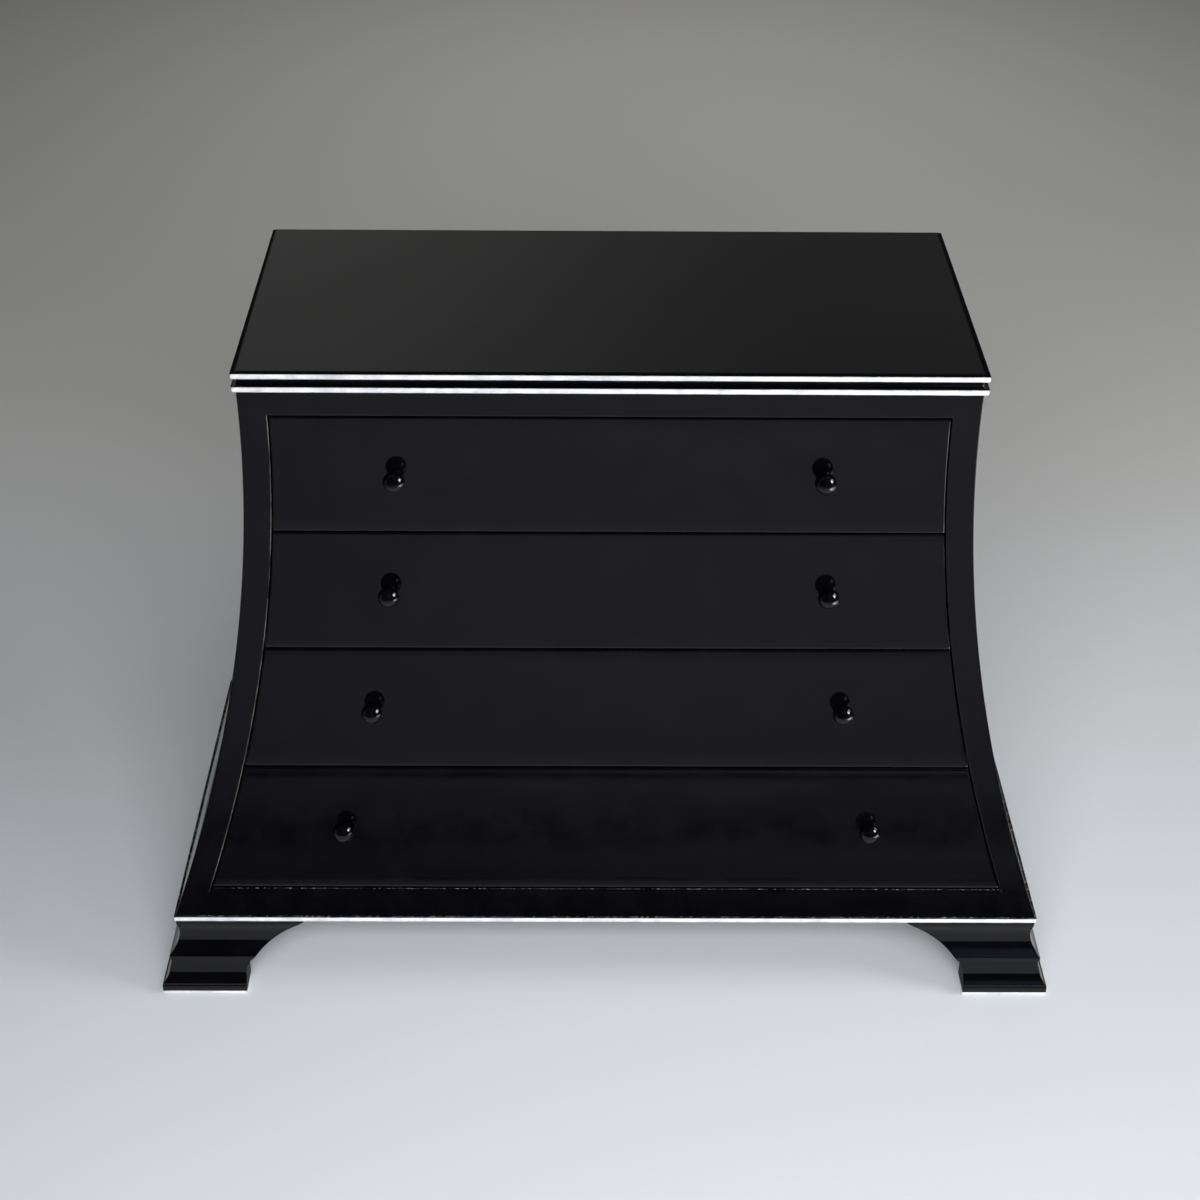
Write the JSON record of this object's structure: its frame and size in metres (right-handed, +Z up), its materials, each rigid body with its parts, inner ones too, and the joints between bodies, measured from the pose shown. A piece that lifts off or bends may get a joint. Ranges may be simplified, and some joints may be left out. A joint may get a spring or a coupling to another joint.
{
  "type": "chest of drawers",
  "caption": "Wide commode chest of drawers with a flared front, black lacquered, with silver leafed edge beads, small round knobs and moulded bracket feet.",
  "frame": {"origin": "on the floor, under the middle of the whole chest, half way between the front of its feet and its back", "axes": "+X to the right as one faces the drawers, +Y towards the back, +Z up; the drawer fronts face -Y"},
  "size_m": [1.1996, 0.5858, 0.865],
  "materials": {
    "black_lacquer": "black lacquer over wood, polished to a high gloss",
    "silver_leaf": "silver leaf over wood, softly worn",
    "stained_wood": "dark stained, satin",
    "drawer_wood": "clear sealed, satin"
  },
  "bodies": {
    "carcass": {"top_board": "black_lacquer", "top_bead": "silver_leaf", "top_neck": "black_lacquer", "sub_top": "black_lacquer", "sub_top_bead": "silver_leaf", "side_left": "black_lacquer", "side_right": "black_lacquer", "stile_left": "black_lacquer", "stile_right": "black_lacquer", "top_rail": "black_lacquer", "base_rail": "black_lacquer", "back_panel": "stained_wood", "bottom_panel": "stained_wood", "divider_rail_1": "stained_wood", "divider_rail_2": "stained_wood", "divider_rail_3": "stained_wood", "runner_left_1": "stained_wood", "runner_left_2": "stained_wood", "runner_left_3": "stained_wood", "runner_right_1": "stained_wood", "runner_right_2": "stained_wood", "runner_right_3": "stained_wood", "base_board": "black_lacquer", "base_bead": "silver_leaf", "foot_front_left": "black_lacquer", "foot_front_right": "black_lacquer", "foot_back_left": "black_lacquer", "foot_back_right": "black_lacquer", "foot_sole_front_left": "silver_leaf", "foot_sole_front_right": "silver_leaf", "foot_sole_back_left": "silver_leaf", "foot_sole_back_right": "silver_leaf"},
    "drawer_1": {"drawer_1_front": "black_lacquer", "drawer_1_side_left": "drawer_wood", "drawer_1_side_right": "drawer_wood", "drawer_1_back": "drawer_wood", "drawer_1_bottom": "drawer_wood", "drawer_1_knob_left": "black_lacquer", "drawer_1_knob_right": "black_lacquer"},
    "drawer_2": {"drawer_2_front": "black_lacquer", "drawer_2_side_left": "drawer_wood", "drawer_2_side_right": "drawer_wood", "drawer_2_back": "drawer_wood", "drawer_2_bottom": "drawer_wood", "drawer_2_knob_left": "black_lacquer", "drawer_2_knob_right": "black_lacquer"},
    "drawer_3": {"drawer_3_front": "black_lacquer", "drawer_3_side_left": "drawer_wood", "drawer_3_side_right": "drawer_wood", "drawer_3_back": "drawer_wood", "drawer_3_bottom": "drawer_wood", "drawer_3_knob_left": "black_lacquer", "drawer_3_knob_right": "black_lacquer"},
    "drawer_4": {"drawer_4_front": "black_lacquer", "drawer_4_side_left": "drawer_wood", "drawer_4_side_right": "drawer_wood", "drawer_4_back": "drawer_wood", "drawer_4_bottom": "drawer_wood", "drawer_4_knob_left": "black_lacquer", "drawer_4_knob_right": "black_lacquer"}
  },
  "joints": [
    {"name": "drawer_1_slide", "type": "slide", "parent": "carcass", "child": "drawer_1", "axis": [0, -1, 0], "range_m": [0, 0.31]},
    {"name": "drawer_2_slide", "type": "slide", "parent": "carcass", "child": "drawer_2", "axis": [0, -1, 0], "range_m": [0, 0.33]},
    {"name": "drawer_3_slide", "type": "slide", "parent": "carcass", "child": "drawer_3", "axis": [0, -1, 0], "range_m": [0, 0.36]},
    {"name": "drawer_4_slide", "type": "slide", "parent": "carcass", "child": "drawer_4", "axis": [0, -1, 0], "range_m": [0, 0.4]}
  ]
}
